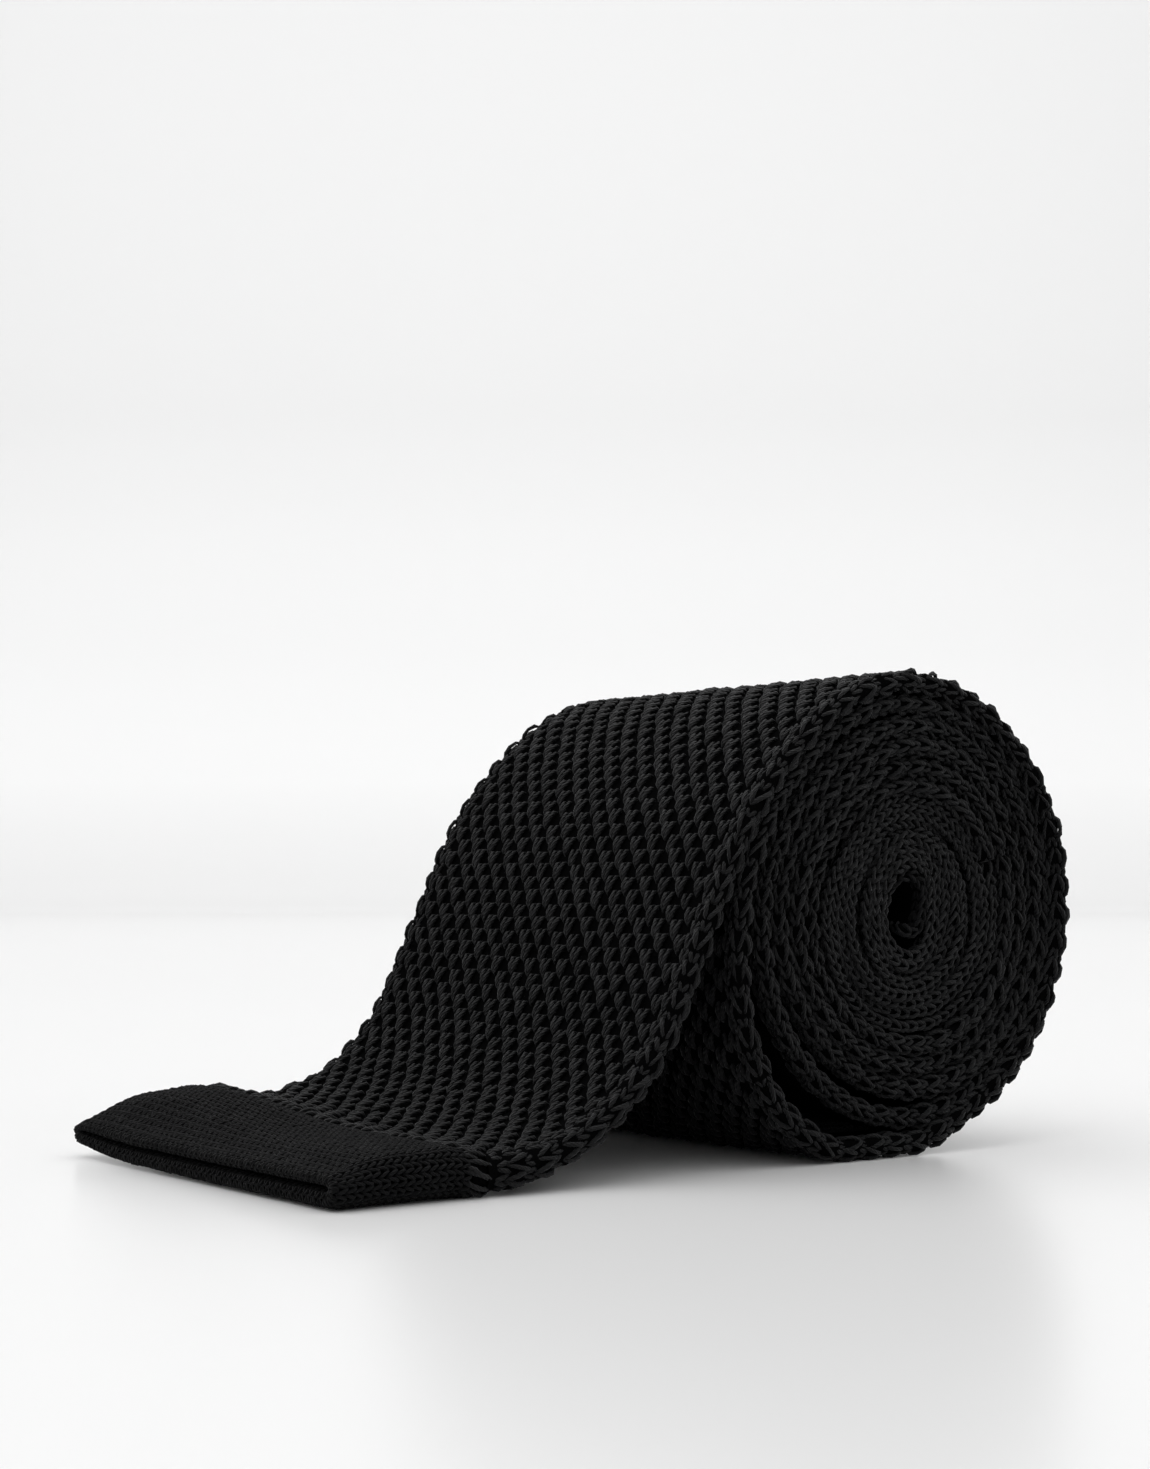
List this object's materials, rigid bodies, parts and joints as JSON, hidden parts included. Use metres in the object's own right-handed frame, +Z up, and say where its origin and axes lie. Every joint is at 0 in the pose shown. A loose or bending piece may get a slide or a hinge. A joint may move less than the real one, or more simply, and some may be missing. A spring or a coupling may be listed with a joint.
{
  "type": "necktie",
  "caption": "Knitted necktie with square ends, rolled up around its narrow end, with its wide end falling from the roll and lying flat as a tongue.",
  "frame": {"origin": "middle of the footprint of the whole rolled tie, on the surface that it lies on", "axes": "+Z up, Y along the axis of the roll, -X towards the free square end"},
  "size_m": [0.1058, 0.06, 0.0564],
  "materials": {
    "blade_knit": "coarse tuck-stitch knit, matt black yarn with a soft sheen",
    "fine_knit": "fine plain knit, matt black",
    "facing_knit": "fine plain knit, matt black, smooth",
    "seam_yarn": "linked stitches of the same black yarn",
    "keeper_tape": "woven black tape, blank"
  },
  "bodies": {
    "roll": {"wide_blade_outer_turn": "blade_knit", "wide_blade_inner_turns": "blade_knit", "blade_to_neck_seam": "seam_yarn", "neckband": "fine_knit", "neck_to_narrow_seam": "seam_yarn", "narrow_blade": "fine_knit", "narrow_end_seam": "seam_yarn", "narrow_end_facing": "facing_knit", "keeper_loop": "keeper_tape", "keeper_tack_front": "seam_yarn", "keeper_tack_back": "seam_yarn"},
    "drape": {"wide_blade_drape": "blade_knit"},
    "tip": {"wide_blade_foot": "blade_knit", "tip_seam": "seam_yarn", "tip_facing": "facing_knit"}
  },
  "joints": [
    {"name": "drape_lift", "type": "hinge", "parent": "roll", "child": "drape", "pos_m": [0.00322, 0, 0.04158], "axis": [0, 1, 0], "range_deg": [0, 40]},
    {"name": "tip_lift", "type": "hinge", "parent": "drape", "child": "tip", "pos_m": [-0.01835, 0, 0.00736], "axis": [0, 1, 0], "range_deg": [0, 60]}
  ]
}
